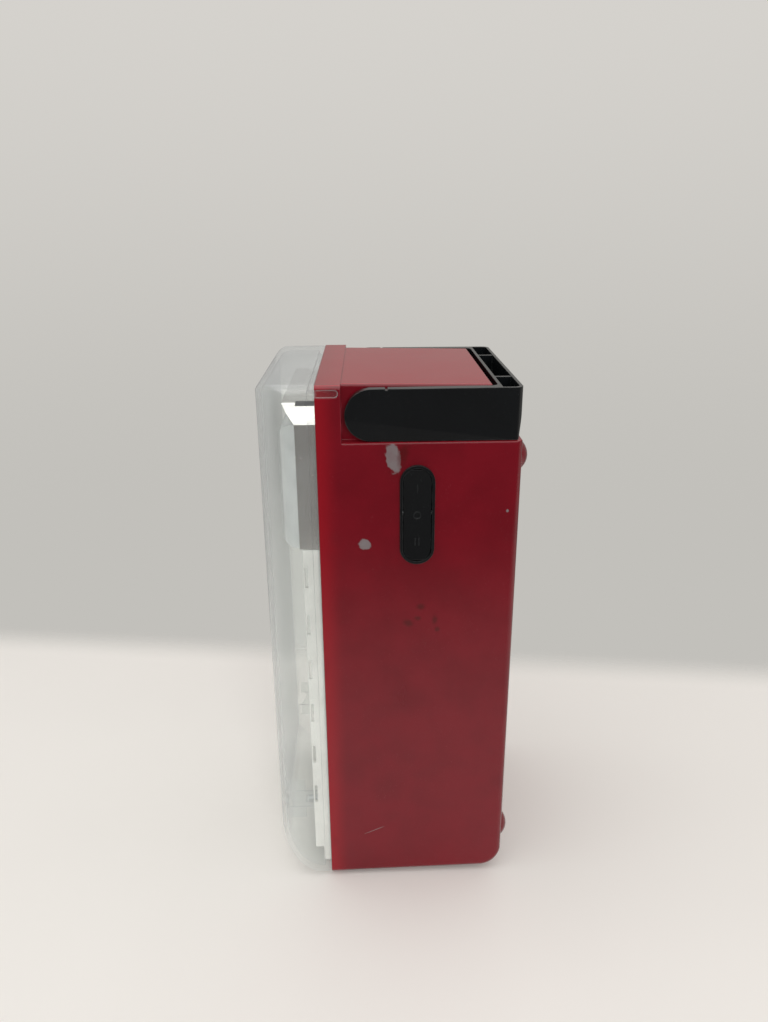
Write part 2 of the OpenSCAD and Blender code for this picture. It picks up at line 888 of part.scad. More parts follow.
// Pan-head screw along +Y with the underside of its head at y.
module screw(x, z, y, r, head_r, head_h, len) {
    rod_y(x, z, r, y, y + len);
    difference() {
        rod_y(x, z, head_r, y - head_h, y);
        for (a = [0, 90]) translate([x, y - head_h, z]) rotate([0, a, 0])
            cube([recess_w * head_r, recess_deep * head_h, recess_t * head_r], center = true);
    }
}

module panel_screws() place() color("silver") {
    both_sides() for (p = PANEL_POSTS)
        screw(p[0], p[1], tray_floor, screw_r, screw_head_r, screw_head_h, screw_len);
}

module board_screws() place() color("silver") {
    both_sides() {
        for (z = [board_low + board_post_inset, board_high - board_post_inset])
            screw(board_x - board_post_inset, z, board_y, screw_r, screw_head_r, screw_head_h, screw_len / 2);
        screw(post_x, clamp_z, clamp_face - clamp_t, screw_r, screw_head_r, screw_head_h, screw_len);
    }
}

module case_screws() place() color("silver") {
    both_sides() translate([0, 2 * tube_seat, 0]) mirror([0, 1, 0])
        screw(post_x, tube_z, tube_seat, case_screw_r, case_head_r, case_head_h, tube_seat + case_screw_out);
}

// ---- Handle ----

// Plan of the folded handle, moved in by inset: two drafted arms joined by a bar.
module handle_plan(inset) {
    drafted_plan(half_w - handle_inset - inset, 0, bar_rear - inset, bar_corner_r - inset / 2);
}

// The space between the arms and in front of the bar.
module handle_gap_plan() {
    drafted_plan(half_w - handle_inset - arm_t, -slack, bar_front, bar_corner_r);
}

module handle_side() {
    translate([pivot_y, pivot_z]) circle(arm_r);
    polygon([
        [pivot_y, handle_z], [bar_rear - bar_taper, handle_z], [bar_rear, pivot_z],
        [bar_rear, handle_top], [pivot_y, handle_top]
    ]);
}

module handle_front() {
    half = half_w - handle_inset;
    polygon([
        [bar_taper - half, handle_z], [half - bar_taper, handle_z], [half, pivot_z],
        [half, handle_top], [-half, handle_top], [-half, pivot_z]
    ]);
}

module handle() place() color("#1c1f21") {
    difference() {
        union() {
            intersection() {
                along_z(handle_z, handle_top) difference() {
                    handle_plan(0);
                    handle_gap_plan();
                }
                along_x(-half_w, half_w) handle_side();
                along_y(0, housing_d) handle_front();
            }
            both_sides() {
                rod_x(pivot_y, pivot_z, shoulder_r, cheek_x + fit_gap, half_w - handle_inset - arm_t / 2);
                rod_x(pivot_y, pivot_z, stud_r, snap_x - stud_lip_w, cheek_x + slack);
                rod_x(pivot_y, pivot_z, stud_r + stud_lip, snap_x - stud_lip_w, snap_x);
            }
        }
        difference() {
            intersection() {
                along_z(handle_z + bar_floor, handle_top + slack) handle_plan(bar_wall);
                translate([-half_w, bar_front + bar_wall, handle_z]) cube([body_w, bar_d, arm_h + slack]);
            }
            for (s = [-1, 1])
                translate([s * rib_x - rib_t / 2, bar_front, handle_z])
                    cube([rib_t, bar_d, arm_h - rib_drop]);
        }
        both_sides() translate([block_x, notch_y - notch_w / 2, handle_top - notch_h])
            cube([pocket_w, notch_w, notch_h + slack]);
    }
}

// ---- Switch, on the +X wall ----

module at_switch() {
    place() on_side() translate([0, switch_y, switch_z]) children();
}

module switch_bezel() at_switch() color("#17191b") {
    neck_w = switch_w - 2 * bezel_neck;
    neck_h = switch_h - 2 * bezel_neck;
    open_w = switch_w - 2 * switch_rim;
    open_h = switch_h - 2 * switch_rim;
    difference() {
        union() {
            along_x(bezel_seat, switch_proud) stadium(switch_w, switch_h);
            along_x(-bezel_deep, switch_proud / 2) stadium(neck_w, neck_h);
        }
        along_x(-rocker_keel - slide_gap - rocker_swing, switch_proud + slack) stadium(open_w, open_h);
        axle_bore();
    }
}

// The hole for the pin that the rocker tips on.
module axle_bore() {
    translate([rocker_axle_x, -switch_w, 0]) rotate([-90, 0, 0])
        cylinder(r = axle_r + run_gap, h = 2 * switch_w);
}

// The rocker: a dished key that tips about its axle, with ends thinner than its middle.
module switch_rocker() at_switch() color("#1e2022") {
    difference() {
        intersection() {
            along_x(-rocker_keel, rocker_out) stadium(rocker_w, rocker_h);
            along_y(-switch_w, switch_w) polygon([
                [rocker_out, rocker_lead_in - rocker_h / 2], [rocker_out, rocker_h / 2 - rocker_lead_in],
                [-slack, rocker_h / 2], [-rocker_end, rocker_h / 2], [-rocker_keel, axle_r + slack],
                [-rocker_keel, -axle_r - slack], [-rocker_end, -rocker_h / 2], [-slack, -rocker_h / 2]
            ]);
        }
        translate([rocker_out - rocker_dish + rocker_dish_r, -switch_w, 0])
            rotate([-90, 0, 0]) cylinder(r = rocker_dish_r, h = 2 * switch_w, $fn = 256);
        axle_bore();
    }
}

module switch_pin() at_switch() color("silver") {
    len = switch_w - 2 * bezel_neck;
    translate([rocker_axle_x, -len / 2, 0]) rotate([-90, 0, 0]) cylinder(r = axle_r, h = len);
}

module switch_body() at_switch() color("#26282a") {
    translate([-bezel_deep - switch_body_d, -switch_body_w / 2, -switch_body_h / 2])
        cube([switch_body_d, switch_body_w, switch_body_h]);
}

module switch_terminals() at_switch() color("goldenrod") {
    for (i = [-1 : 1]) difference() {
        translate([-bezel_deep - switch_body_d - blade_len, -blade_w / 2, i * blade_pitch - blade_t / 2])
            cube([blade_len, blade_w, blade_t]);
        translate([blade_hole_in - bezel_deep - switch_body_d - blade_len, 0, i * blade_pitch - blade_t])
            cylinder(r = blade_hole_r, h = 2 * blade_t);
    }
}

// ---- Mains inlet and charge lamps, on the -X wall ----

module at_inlet(z) {
    place() mirror([1, 0, 0]) on_side() translate([0, switch_y, z]) children();
}

module inlet_body() at_inlet(inlet_z) color("#17191b") {
    difference() {
        union() {
            along_x(bezel_seat, switch_proud) stadium(inlet_w, inlet_h);
            along_x(-socket_d - inlet_wall, switch_proud / 2)
                stadium(inlet_w - 2 * bezel_neck, inlet_h - 2 * bezel_neck);
        }
        along_x(switch_proud - socket_d, switch_proud + slack) stadium(socket_w, socket_h);
        for (s = [-1, 1]) rod_x(0, s * pin_pitch / 2, pin_r + run_gap, -socket_d - 2 * inlet_wall, slack);
    }
}

module inlet_pins() at_inlet(inlet_z) color("silver") {
    tip = switch_proud - socket_d + pin_out - pin_r;
    for (s = [-1, 1]) {
        rod_x(0, s * pin_pitch / 2, pin_r, -socket_d - inlet_wall - pin_tail, tip);
        translate([tip, 0, s * pin_pitch / 2]) sphere(pin_r);
    }
}

module charge_leds() at_inlet(lamp_z) color("limegreen") {
    for (s = [-1, 1]) {
        rod_x(s * lamp_pitch / 2, 0, lamp_r, -wall - slack, lamp_flange);
        translate([lamp_flange, s * lamp_pitch / 2, 0]) sphere(lamp_r);
        rod_x(s * lamp_pitch / 2, 0, lamp_r + lamp_flange, -wall - lamp_tail, -wall - fit_gap);
    }
}

// ---- Battery and its clamp ----

module battery() place() color("dimgray") {
    difference() {
        translate([-battery_w / 2, battery_front, cradle_z]) cube([battery_w, battery_d, battery_h]);
        for (s = [-1, 1]) translate([s * battery_w / 2, 0, battery_top - lid_h])
            along_y(battery_front - slack, battery_rear + slack) square(lid_groove, center = true);
        translate([vent_gap - terminal_x, terminal_y - blade_w, battery_top - lid_groove])
            cube([2 * (terminal_x - vent_gap), battery_d / 2, lid_groove + slack]);
    }
}

module battery_terminals() place() color("goldenrod") {
    for (s = [-1, 1]) difference() {
        translate([s * terminal_x - blade_t / 2, terminal_y - blade_w / 2, battery_top])
            cube([blade_t, blade_w, blade_len]);
        rod_x(terminal_y, battery_top + blade_len - blade_hole_in, blade_hole_r,
            s * terminal_x - blade_t, s * terminal_x + blade_t);
    }
}

module battery_pad() place() color("slategray") {
    translate([pad_inset_x - battery_w / 2, battery_rear, cradle_z + pad_inset_z])
        cube([battery_w - 2 * pad_inset_x, pad_t, battery_h - 2 * pad_inset_z]);
}

module battery_clamp() place() color("lightsteelblue") {
    x = post_x + post_r;
    difference() {
        along_y(clamp_face - clamp_t, clamp_face)
            translate([0, clamp_z]) union() {
                square([2 * x - clamp_h, clamp_h], center = true);
                for (s = [-1, 1]) translate([s * (x - clamp_h / 2), 0]) circle(clamp_h / 2);
            }
        both_sides() rod_y(post_x, clamp_z, screw_r + fit_gap, 0, battery_front);
    }
}

// ---- Charger board ----

module main_board() place() color("darkolivegreen") {
    difference() {
        translate([-board_x, board_y, board_low]) cube([2 * board_x, board_t, board_high - board_low]);
        both_sides() for (z = [board_low + board_post_inset, board_high - board_post_inset])
            rod_y(board_x - board_post_inset, z, screw_r + fit_gap, board_y - slack, board_y + 2 * board_t);
    }
}

// Moves to a point of the board's front face.
module on_board(x, z) {
    translate([x, board_y, z]) children();
}

module film_capacitor() place() color("firebrick") {
    on_board(film_x, board_low + film_z) translate([0, -film_d, 0]) cube([film_w, film_d, film_h]);
}

module electrolytic_capacitors() place() color("midnightblue") {
    on_board(big_can_x, board_low + big_can_up) rod_y(0, 0, big_can_r, -big_can_h, 0);
    on_board(small_can_x, board_high - small_can_drop) rod_y(0, 0, small_can_r, -small_can_h, 0);
}

module rectifier_diodes() place() color("black") {
    for (i = [0 : 3]) on_board(diode_x + i * diode_pitch, board_low + diode_z) {
        translate([0, -diode_lift, -diode_len / 2]) cylinder(r = diode_r, h = diode_len);
        for (s = [-1, 1]) translate([-wire_w / 2, -diode_lift - wire_w / 2, s * diode_len / 2 - wire_w])
            cube([wire_w, diode_lift + wire_w / 2, 2 * wire_w]);
    }
}

module driver_transistor() place() color("black") {
    on_board(driver_x, board_high - driver_drop) {
        translate([0, -wire_len - case_w, 0]) cube([case_w, case_w, case_t]);
        translate([0, -wire_len - case_w - tab_len, 0]) cube([case_w, tab_len, tab_t]);
        for (i = [-1 : 1]) translate([(case_w - wire_w) / 2 + i * wire_pitch, -wire_len, case_t / 2])
            cube([wire_w, wire_len, wire_w]);
    }
}

// ---- Leads ----

function unit(v) = v / norm(v);

// The route of a lead: straight runs through the points, with each corner rounded by a curve.
function lead_route(p) = [
    p[0],
    for (i = [1 : len(p) - 2])
        let (
            a = p[i] + unit(p[i - 1] - p[i]) * min(bend_cut, norm(p[i - 1] - p[i]) / 2),
            b = p[i] + unit(p[i + 1] - p[i]) * min(bend_cut, norm(p[i + 1] - p[i]) / 2)
        )
        for (j = [0 : bend_steps])
            let (t = j / bend_steps) (1 - t) * (1 - t) * a + 2 * t * (1 - t) * p[i] + t * t * b,
    p[len(p) - 1]
];

// Direction of the route at a point: the mean of the runs before and after it.
function lead_heading(r, i) = unit(r[min(i + 1, len(r) - 1)] - r[max(i - 1, 0)]);

// An insulated lead: one closed tube swept along its route.
module lead(points) {
    route = lead_route(points);
    n = lead_sides;
    last = len(route) - 1;
    rings = [
        for (i = [0 : last])
            let (t = lead_heading(route, i), u = unit(cross(t, lead_reference)), v = cross(t, u))
            for (j = [0 : n - 1]) route[i] + lead_r * (cos(j * 360 / n) * u + sin(j * 360 / n) * v)
    ];
    sides = [
        for (i = [0 : last - 1], j = [0 : n - 1])
            let (k = (j + 1) % n) [i * n + j, (i + 1) * n + j, (i + 1) * n + k, i * n + k]
    ];
    caps = [[for (j = [0 : n - 1]) j], [for (j = [n - 1 : -1 : 0]) last * n + j]];
    polyhedron(rings, concat(sides, caps));
}

// Lead from the battery tab on side s, up past the battery and over to the board.
module battery_lead(s) {
    lead([
        [s * terminal_x, terminal_y, battery_top + blade_len + lead_r],
        [s * terminal_x, terminal_y, battery_joint_z],
        [s * battery_joint_x, board_y - turn_d, battery_joint_z],
        [s * battery_joint_x, board_y, battery_joint_z]
    ]);
}

module battery_lead_red() place() color("red") battery_lead(1);

module battery_lead_black() place() color("black") battery_lead(-1);

module panel_leads() place() color("white") {
    for (x = [0, lead_pitch])
        lead([
            [x, tray_back + board_t, panel_lead_z], [x, tray_back + turn_d, panel_lead_z],
            [x, board_y - turn_d, panel_joint_z], [x, board_y, panel_joint_z]
        ]);
}

module spot_leads() place() color("red") {
    for (s = [-1, 1])
        translate([s * lead_pitch / 2 - spot_joint_x, 0, 0])
            lead([
                [0, spot_back + star_t, spot_z - sink_r - 2 * lead_r],
                [0, board_y - turn_d, spot_joint_z], [0, board_y, spot_joint_z]
            ]);
}

module switch_leads() place() color("orange") {
    x = half_w - bezel_deep - switch_body_d - blade_len - 2 * lead_r;
    for (i = [0, 1]) {
        joint_z = switch_z + (i - 2) * lead_pitch;
        lead([
            [x, switch_y, switch_z + i * blade_pitch],
            [side_joint_x, board_y - turn_d, joint_z], [side_joint_x, board_y, joint_z]
        ]);
    }
}

module inlet_leads() place() color("saddlebrown") {
    x = socket_d + inlet_wall + pin_tail + 2 * lead_r - half_w;
    for (s = [-1, 1])
        lead([
            [x, switch_y, inlet_z + s * pin_pitch / 2],
            [-side_joint_x, board_y - turn_d, inlet_z + s * lead_pitch],
            [-side_joint_x, board_y, inlet_z + s * lead_pitch]
        ]);
}

housing();
lens();
led_tray();
reflector_frame();
spot_reflector();
spot_lens();
spot_led();
spot_heatsink();
led_board();
panel_leds();
panel_screws();
case_screws();
switch_bezel();
switch_rocker();
switch_pin();
switch_body();
switch_terminals();
inlet_body();
inlet_pins();
charge_leds();
handle();
battery();
battery_terminals();
battery_clamp();
battery_pad();
board_screws();
main_board();
film_capacitor();
electrolytic_capacitors();
rectifier_diodes();
driver_transistor();
battery_lead_red();
battery_lead_black();
panel_leads();
spot_leads();
switch_leads();
inlet_leads();
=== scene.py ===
import logging
import math
from dataclasses import dataclass
from enum import Enum
from typing import Any, ClassVar, Optional, Union

import bmesh
import bpy
from mathutils import Matrix, Vector
from mathutils.bvhtree import BVHTree


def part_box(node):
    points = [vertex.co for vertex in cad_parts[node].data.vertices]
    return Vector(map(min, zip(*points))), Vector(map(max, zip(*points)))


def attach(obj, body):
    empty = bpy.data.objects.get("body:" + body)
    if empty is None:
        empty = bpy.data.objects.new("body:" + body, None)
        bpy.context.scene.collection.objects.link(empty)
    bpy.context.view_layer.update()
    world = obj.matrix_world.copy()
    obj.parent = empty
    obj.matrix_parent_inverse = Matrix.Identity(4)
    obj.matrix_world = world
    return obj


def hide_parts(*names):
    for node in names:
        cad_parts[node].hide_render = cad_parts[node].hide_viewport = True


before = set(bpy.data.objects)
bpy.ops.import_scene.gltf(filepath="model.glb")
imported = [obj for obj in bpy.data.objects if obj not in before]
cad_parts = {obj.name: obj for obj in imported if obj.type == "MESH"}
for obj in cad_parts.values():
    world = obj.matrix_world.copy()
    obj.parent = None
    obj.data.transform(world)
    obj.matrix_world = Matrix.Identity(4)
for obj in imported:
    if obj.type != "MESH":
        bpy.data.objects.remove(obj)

MM = 0.001
SEAM_Y = -29.3  # where the lens meets the shell, in millimetres
log = logging.getLogger("lantern")

Pair = tuple[float, float]
Triple = tuple[float, float, float]
Colour = Triple
Place = Triple
Value = Union[float, "Wire"]
Shade = Union[Colour, "Wire"]

RIGHT: Triple = (1, 0, 0)
FRONT: Triple = (0, -1, 0)
UP: Triple = (0, 0, 1)


class Body(Enum):
    """The bodies of the lantern that a piece can ride on."""

    LANTERN = "lantern"
    HANDLE = "handle"
    ROCKER = "rocker"


def tint(code: str) -> Colour:
    """Turns a colour as written on a paint card into scene-linear numbers.

    Args:
        code: Six hexadecimal digits, two each for red, green and blue.

    Returns:
        Linear red, green and blue.
    """
    parts = [int(code[i:i + 2], 16) / 255 for i in (0, 2, 4)]
    red, green, blue = (p / 12.92 if p <= 0.04045 else ((p + 0.055) / 1.055) ** 2.4 for p in parts)
    return red, green, blue


def darker(colour: Colour, share: float) -> Colour:
    """Gives a colour with only a share of its light."""
    red, green, blue = colour
    return share * red, share * green, share * blue


@dataclass(frozen=True)
class Strokes:
    """Fine parallel scratches: length and width in millimetres, and their turn in degrees.

    Unturned they run along Z.
    """

    length: float
    width: float
    turn: Triple


class Wire:
    """An output socket of a shader node, whose operators add Math nodes."""

    def __init__(self, paint: "Paint", socket: bpy.types.NodeSocket) -> None:
        """Keeps the socket and the paint that it belongs to."""
        self.paint = paint
        self.socket = socket

    def _math(self, operation: str, *values: Value) -> "Wire":
        """Adds a Math node of one operation on the values."""
        return self.paint.node("ShaderNodeMath", {"operation": operation}, dict(enumerate(values)))

    def __add__(self, other: Value) -> "Wire":
        """Adds a value."""
        return self._math("ADD", self, other)

    def __radd__(self, other: Value) -> "Wire":
        """Adds to a value."""
        return self._math("ADD", other, self)

    def __sub__(self, other: Value) -> "Wire":
        """Takes a value away."""
        return self._math("SUBTRACT", self, other)

    def __rsub__(self, other: Value) -> "Wire":
        """Is taken away from a value."""
        return self._math("SUBTRACT", other, self)

    def __mul__(self, other: Value) -> "Wire":
        """Multiplies by a value."""
        return self._math("MULTIPLY", self, other)

    def __rmul__(self, other: Value) -> "Wire":
        """Multiplies a value."""
        return self._math("MULTIPLY", other, self)

    def __truediv__(self, other: Value) -> "Wire":
        """Divides by a value."""
        return self._math("DIVIDE", self, other)

    def __pow__(self, other: Value) -> "Wire":
        """Raises to a power."""
        return self._math("POWER", self, other)

    def __abs__(self) -> "Wire":
        """Drops the sign."""
        return self._math("ABSOLUTE", self)

    def least(self, other: Value) -> "Wire":
        """Gives the smaller of two values."""
        return self._math("MINIMUM", self, other)

    def most(self, other: Value) -> "Wire":
        """Gives the greater of two values."""
        return self._math("MAXIMUM", self, other)

    def step(self, low: float, high: float) -> "Wire":
        """Rises smoothly from 0 to 1 between two limits.

        Args:
            low: Where the result leaves 0.
            high: Where the result reaches 1. It may lie below low.

        Returns:
            The eased value.
        """
        return self.paint.node(
            "ShaderNodeMapRange",
            {"interpolation_type": "SMOOTHSTEP"},
            {"Value": self, "From Min": low, "From Max": high},
        )


class Paint:
    """The node tree of one finish while it is mixed."""

    def __init__(self, name: str, world: Optional[bpy.types.World] = None) -> None:
        """Starts an empty material, or empties a world's nodes.

        Args:
            name: The material's name.
            world: The world, where a world is painted.
        """
        self.target = world or bpy.data.materials.new(name)
        self.target.use_nodes = True
        self.tree = self.target.node_tree
        self.tree.nodes.clear()

    def node(
        self,
        kind: str,
        settings: Optional[dict[str, Any]] = None,
        inputs: Optional[dict[Union[str, int], Any]] = None,
        outlet: Union[str, int] = 0,
    ) -> Wire:
        """Adds a node.

        Args:
            kind: The node's type.
            settings: Its settings, set before its sockets. "stops" fills a colour ramp.
            inputs: Values or wires for its sockets, by name or number.
            outlet: The output that is returned.

        Returns:
            That output.
        """
        made = self.tree.nodes.new(kind)
        for key, value in (settings or {}).items():
            if key == "stops":
                ramp = made.color_ramp
                while len(ramp.elements) < len(value):
                    ramp.elements.new(0.5)
                for element, (where, colour) in zip(ramp.elements, value):
                    element.position = where
                    element.color = (*colour, 1)
            else:
                setattr(made, key, value)
        for key, value in (inputs or {}).items():
            socket = made.inputs[key]
            if isinstance(value, Wire):
                self.tree.links.new(value.socket, socket)
            elif socket.type == "RGBA" and len(value) == 3:
                socket.default_value = (*value, 1)
            else:
                socket.default_value = value
        return Wire(self, made.outputs[outlet])

    def place(self, stretch: Triple = (1, 1, 1), turn: Triple = (0, 0, 0)) -> Wire:
        """Gives the point on the piece in millimetres.

        Args:
            stretch: How many times longer the pattern is along each axis.
            turn: Turns the pattern about the axes, in degrees.

        Returns:
            The point as a vector.
        """
        here = self.node("ShaderNodeTexCoord", outlet="Object")
        return self.node(
            "ShaderNodeMapping",
            {"vector_type": "TEXTURE"},
            {
                "Vector": here,
                "Rotation": tuple(math.radians(a) for a in turn),
                "Scale": tuple(MM * s for s in stretch),
            },
        )

    def noise(self, size: float, detail: float = 3, rough: float = 0.5, at: Optional[Wire] = None) -> Wire:
        """Gives cloudy noise.

        Args:
            size: Size of its blotches in millimetres.
            detail: How many finer layers it has.
            rough: How strong the finer layers are.
            at: The point, where it isn't the plain one.

        Returns:
            A value about 0.5.
        """
        return self.node(
            "ShaderNodeTexNoise",
            {"noise_dimensions": "3D"},
            {"Vector": at or self.place(), "Scale": 1 / size, "Detail": detail, "Roughness": rough},
        )

    def scratches(self, strokes: Strokes, share: float) -> Wire:
        """Gives fine parallel scratches in patches.

        Args:
            strokes: Their size and turn.
            share: How much of the surface they cover, from 0 to 1.

        Returns:
            1 in a scratch and 0 beside it.
        """
        stretch = (strokes.width, strokes.width, strokes.length)
        streaks = self.noise(1, 2, 0.6, self.place(stretch, strokes.turn))
        patch = self.noise(22, 2).step(0.45, 0.6)
        return streaks.step(0.76 - share, 0.8 - share) * patch

    def mix(self, first: Shade, second: Shade, share: Value) -> Wire:
        """Mixes two colours.

        Args:
            first: The colour at share 0.
            second: The colour at share 1.
            share: How much of the second.

        Returns:
            The mixed colour.
        """
        return self.node(
            "ShaderNodeMix",
            {"data_type": "RGBA", "clamp_factor": True},
            {0: share, 6: first, 7: second},
            outlet=2,
        )

    def split(self, vector: Wire) -> tuple[Wire, Wire, Wire]:
        """Gives the three parts of a vector.

        Args:
            vector: The vector.

        Returns:
            Its X, Y and Z.
        """
        parts = self.node("ShaderNodeSeparateXYZ", None, {0: vector})
        node = parts.socket.node
        return parts, Wire(self, node.outputs[1]), Wire(self, node.outputs[2])

    def facing(self, way: Triple) -> Wire:
        """Gives how far the surface faces a direction of the piece, from -1 to 1."""
        normal = self.node("ShaderNodeTexCoord", outlet="Normal")
        return self.node(
            "ShaderNodeVectorMath", {"operation": "DOT_PRODUCT"}, {0: normal, 1: way}, outlet="Value"
        )

    def rounded(self, radius: float, samples: int = 6) -> Wire:
        """Gives the normal of edges rounded to a radius in millimetres."""
        return self.node("ShaderNodeBevel", {"samples": samples}, {"Radius": radius * MM})

    def edges(self, radius: float) -> Wire:
        """Gives the sharp edges.

        Args:
            radius: How far from an edge it still counts, in millimetres.

        Returns:
            1 on an edge, falling to 0 within the radius.
        """
        true = self.node("ShaderNodeNewGeometry", outlet="Normal")
        same = self.node(
            "ShaderNodeVectorMath",
            {"operation": "DOT_PRODUCT"},
            {0: self.rounded(radius, 4), 1: true},
            outlet="Value",
        )
        return (1 - same).step(0.02, 0.22)

    def bump(self, height: Wire, depth: float, normal: Optional[Wire] = None) -> Wire:
        """Raises the surface by a height.

        Args:
            height: The height, from 0 to 1.
            depth: What a height of 1 stands for, in millimetres.
            normal: The normal that it starts from.

        Returns:
            The new normal.
        """
        inputs = {"Height": height, "Distance": depth * MM, "Strength": 1.0}
        if normal is not None:
            inputs["Normal"] = normal
        return self.node("ShaderNodeBump", None, inputs)

    def surface(self, **inputs: Any) -> Wire:
        """Adds a Principled shader; an underscore in a name stands for a space."""
        named = {key.replace("_", " "): value for key, value in inputs.items()}
        return self.node("ShaderNodeBsdfPrincipled", None, named)

    def grazing(self) -> Wire:
        """Gives 0 where the surface is met head on, rising to 1 along its outline."""
        return self.node("ShaderNodeLayerWeight", None, {"Blend": 0.5}, outlet="Facing")

    def done(self, shader: Wire) -> Union[bpy.types.Material, bpy.types.World]:
        """Ends the tree with its output.

        Args:
            shader: What the output shows.

        Returns:
            The material or the world.
        """
        of_world = isinstance(self.target, bpy.types.World)
        end = self.tree.nodes.new("ShaderNodeOutputWorld" if of_world else "ShaderNodeOutputMaterial")
        self.tree.links.new(shader.socket, end.inputs["Surface"])
        return self.target


@dataclass(frozen=True)
class Moulded:
    """An opaque moulded plastic with grain, scuffs, worn edges and a little dust.

    Sizes are in millimetres. Scuffs, edge wear and dust are shares from 0 to 1.
    """

    name: str
    colour: Colour
    worn: Colour
    rough: float = 0.3
    grain: float = 0.01
    grain_size: float = 0.7
    scuffs: float = 0.06
    strokes: tuple[Strokes, Strokes] = (Strokes(14, 0.16, (28, 8, 0)), Strokes(9, 0.12, (-47, 20, 12)))
    round: float = 0.3
    edge_wear: float = 0.5
    dust: float = 0.1
    dust_colour: Colour = tint("B5AFA8")
    index: float = 1.52
    cloud_shade: float = 0.82
    cloud_size: float = 18
    wear_size: float = 3.5
    speck_size: float = 0.9
    speck_patch: float = 13

    def marks(self, paint: Paint, colour: Wire, rough: Wire) -> tuple[Wire, Wire]:
        """Adds a finish's own marks; a plain plastic has none."""
        return colour, rough

    def make(self) -> bpy.types.Material:
        """Mixes the plastic.

        Returns:
            Its material.
        """
        paint = Paint(self.name)
        cloud = paint.noise(self.cloud_size, 4)
        long, short = (paint.scratches(strokes, self.scuffs) for strokes in self.strokes)
        scuff = long.most(short)
        worn = paint.noise(self.wear_size, 3).step(0.3, 0.62)
        edge = paint.edges(self.round * 1.6) * worn * self.edge_wear
        speckled = paint.noise(self.speck_size, 2).step(0.62, 0.72)
        speck = speckled * paint.noise(self.speck_patch, 2).step(0.45, 0.7)
        settled = paint.facing(UP).step(0.35, 0.95) * (0.35 + 0.65 * cloud)
        dust = (settled + 0.4 * speck) * self.dust
        colour = paint.mix(self.colour, darker(self.colour, self.cloud_shade), cloud.step(0.3, 0.75))
        colour = paint.mix(colour, self.worn, (edge + 0.3 * scuff).least(1))
        colour = paint.mix(colour, self.dust_colour, dust.least(1))
        rough = self.rough + 0.1 * (cloud - 0.5) + 0.22 * scuff + 0.35 * dust
        colour, rough = self.marks(paint, colour, rough)
        height = paint.noise(self.grain_size, 2) + 0.5 * (1 - scuff)
        normal = paint.bump(height, self.grain, paint.rounded(self.round))
        return paint.done(paint.surface(Base_Color=colour, Roughness=rough, IOR=self.index, Normal=normal))


@dataclass(frozen=True)
class Chip:
    """A worn or chipped patch on the side wall: its middle and half lengths in millimetres.

    It leans by an angle in degrees.
    """

    y: float
    z: float
    half_y: float
    half_z: float
    lean: float


@dataclass(frozen=True)
class RedShell(Moulded):
    """The red shell: chipped and smeared on its right wall, with a paler top and a brighter band along its
    seam that are both painted light.
    """

    chips: tuple[Chip, ...] = ()
    smears: tuple[Chip, ...] = ()
    ragged: float = 1.3
    ragged_size: float = 2.6
    bare: Colour = tint("807F80")
    chip_soft: float = 0.12
    halo_soft: float = 0.6
    halo_share: float = 0.45
    smear: Colour = tint("401412")
    smear_soft: float = 0.7
    smear_share: float = 0.6
    # Painted light: a brighter red along the seam stands in for light that comes through the lens into the
    # wall.
    painted_seam_light: Colour = tint("921420")
    painted_seam_light_share: float = 0.8
    painted_seam_light_reach: float = 9.0
    # Painted light: a paler red on upward faces stands in for light falling on the top.
    painted_top_light_and_floor_fade: Colour = tint("9C1A28")
    smudge_size: float = 24
    smudge_share: float = 0.5

    def spot(self, paint: Paint, chip: Chip, soft: float, warp: Wire) -> Wire:
        """Gives a mask of one chip.

        Args:
            paint: The paint it is mixed into.
            chip: The chip.
            soft: Width of its edge, as a share of its size.
            warp: Noise that makes its outline ragged.

        Returns:
            1 in the chip and 0 outside it.
        """
        _, y, z = paint.split(paint.place())
        cos, sin = math.cos(math.radians(chip.lean)), math.sin(math.radians(chip.lean))
        y, z = y - chip.y, z - chip.z
        across = (y * cos + z * sin) / chip.half_y
        along = (z * cos - y * sin) / chip.half_z
        reach = (across * across + along * along) ** 0.5 + (warp - 0.5) * self.ragged
        return reach.step(1 + soft, 1 - soft)

    def marks(self, paint: Paint, colour: Wire, rough: Wire) -> tuple[Wire, Wire]:
        """Adds the painted light on the top and along the seam, the chips, the smears and the smudges.

        Args:
            paint: The paint they are mixed into.
            colour: The colour so far.
            rough: The roughness so far.

        Returns:
            Colour and roughness with the marks.
        """
        on_side = paint.facing(RIGHT).step(0.7, 0.95)
        _, y, _ = paint.split(paint.place())
        # Painted light along the seam: the wall is drawn brighter red there (mask here, mix two lines down).
        seam_light_mask = y.step(SEAM_Y + self.painted_seam_light_reach, SEAM_Y)
        # Painted light on upward faces, drawn as a paler red.
        colour = paint.mix(colour, self.painted_top_light_and_floor_fade, paint.facing(UP).step(0.8, 0.97))
        colour = paint.mix(colour, self.painted_seam_light, seam_light_mask * self.painted_seam_light_share)
        warp = paint.noise(self.ragged_size, 3, 0.6)
        for chip in self.chips:
            mask = self.spot(paint, chip, self.chip_soft, warp) * on_side
            halo = self.spot(paint, chip, self.halo_soft, warp) * on_side
            colour = paint.mix(colour, darker(self.colour, 0.5), self.halo_share * halo)
            colour = paint.mix(colour, self.bare, mask * (0.55 + 0.4 * warp))
            rough = rough + 0.25 * mask
        for smear in self.smears:
            mask = self.spot(paint, smear, self.smear_soft, warp) * on_side
            colour = paint.mix(colour, self.smear, self.smear_share * mask)
        tall = paint.place((1, 1, 1.6))
        smudge = paint.noise(self.smudge_size, 3, 0.6, tall).step(0.52, 0.78) * on_side
        colour = paint.mix(colour, darker(self.colour, 0.72), self.smudge_share * smudge)
        return colour, rough + 0.16 * smudge


